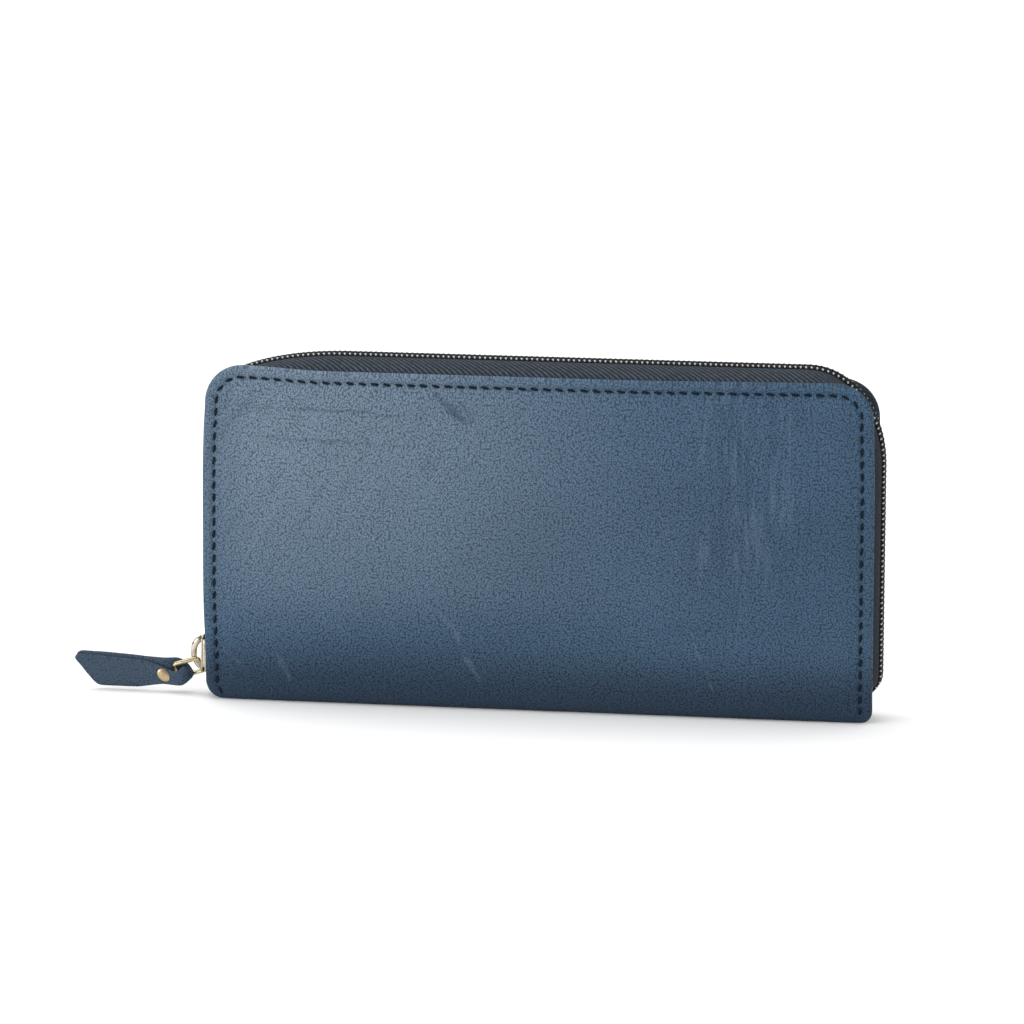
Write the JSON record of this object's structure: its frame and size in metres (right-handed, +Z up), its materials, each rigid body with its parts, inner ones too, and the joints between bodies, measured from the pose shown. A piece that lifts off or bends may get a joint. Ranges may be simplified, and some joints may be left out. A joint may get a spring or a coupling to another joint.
{
  "type": "long wallet",
  "caption": "Long leather wallet that a zip closes round three sides, with card pockets, note compartments, a zipped coin pocket and a leather pull tab.",
  "frame": {"origin": "middle of the spine's flat underside, on which the closed wallet stands", "axes": "+X along the wallet's length, -Y the front, +Z up to the zip"},
  "size_m": [0.2373, 0.023, 0.1027],
  "materials": {
    "outer_leather": "pebbled, semi-matt, waxed",
    "inner_leather": "fine grained, matt",
    "lining": "plain weave, matt",
    "stiffener": "pressed card, matt",
    "zip_tape": "woven twill, matt",
    "zip_coil": "nylon, satin gloss",
    "slider_metal": "pale nickel, polished",
    "ring_brass": "pale gold plate, polished",
    "rivet_brass": "antique brass, satin"
  },
  "bodies": {
    "spine_and_pocket": {"spine_leather": "outer_leather", "spine_lining": "lining", "front_left_gusset": "inner_leather", "front_right_gusset": "inner_leather", "back_left_gusset": "inner_leather", "back_right_gusset": "inner_leather", "coin_front_wall": "inner_leather", "coin_back_wall": "inner_leather", "coin_front_tape": "zip_tape", "coin_back_tape": "zip_tape", "coin_front_coil": "zip_coil", "coin_back_coil": "zip_coil"},
    "front_half": {"front_leather": "outer_leather", "front_stiffener": "stiffener", "front_lining": "lining", "front_card_leaf_1": "inner_leather", "front_card_leaf_2": "inner_leather", "front_card_leaf_3": "inner_leather", "front_card_leaf_4": "inner_leather", "front_zip_tape": "zip_tape", "front_zip_coil": "zip_coil", "front_coil_run": "zip_coil", "front_zip_stops": "slider_metal"},
    "back_half": {"back_leather": "outer_leather", "back_stiffener": "stiffener", "back_lining": "lining", "back_card_leaf_1": "inner_leather", "back_card_leaf_2": "inner_leather", "back_card_leaf_3": "inner_leather", "back_card_leaf_4": "inner_leather", "back_zip_tape": "zip_tape", "back_zip_coil": "zip_coil", "back_coil_run": "zip_coil", "back_zip_stops": "slider_metal"},
    "zip_slider": {"zip_slider": "slider_metal", "slider_crown": "slider_metal"},
    "pull_ring": {"pull_ring": "ring_brass"},
    "pull_tab": {"pull_tab": "outer_leather", "tab_rivet": "rivet_brass"},
    "coin_slider": {"coin_slider": "slider_metal"},
    "coin_pull": {"coin_pull": "slider_metal"}
  },
  "joints": [
    {"name": "front_opens", "type": "hinge", "parent": "spine_and_pocket", "child": "front_half", "pos_m": [0, -0.0108, 0.00435], "axis": [1, 0, 0], "range_deg": [0, 26], "deforming": ["front_left_gusset", "front_right_gusset"]},
    {"name": "back_opens", "type": "hinge", "parent": "spine_and_pocket", "child": "back_half", "pos_m": [0, 0.0108, 0.00435], "axis": [-1, 0, 0], "range_deg": [0, 26], "deforming": ["back_left_gusset", "back_right_gusset"]},
    {"name": "slider_runs", "type": "slide", "parent": "back_half", "child": "zip_slider", "axis": [0, 0, 1], "range_m": [0, 0.05], "deforming": ["front_coil_run", "back_coil_run"]},
    {"name": "ring_swings", "type": "hinge", "parent": "zip_slider", "child": "pull_ring", "pos_m": [-0.10155, 0, 0.0103], "axis": [0, 1, 0], "range_deg": [-6, 34]},
    {"name": "tab_swings", "type": "hinge", "parent": "pull_ring", "child": "pull_tab", "pos_m": [-0.10886, 0, 0.00821], "axis": [0.2201, 0.6018, -0.7677], "range_deg": [-35, 35]},
    {"name": "coin_slider_runs", "type": "slide", "parent": "spine_and_pocket", "child": "coin_slider", "axis": [1, 0, 0], "range_m": [0, 0.14], "deforming": ["coin_front_coil", "coin_back_coil"]},
    {"name": "coin_pull_swings", "type": "hinge", "parent": "coin_slider", "child": "coin_pull", "pos_m": [-0.066, 0, 0.087], "axis": [0, -1, 0], "range_deg": [0, 170]}
  ],
  "couplings": [
    {"joint": "back_opens", "follows": "front_opens", "ratio": 1}
  ]
}
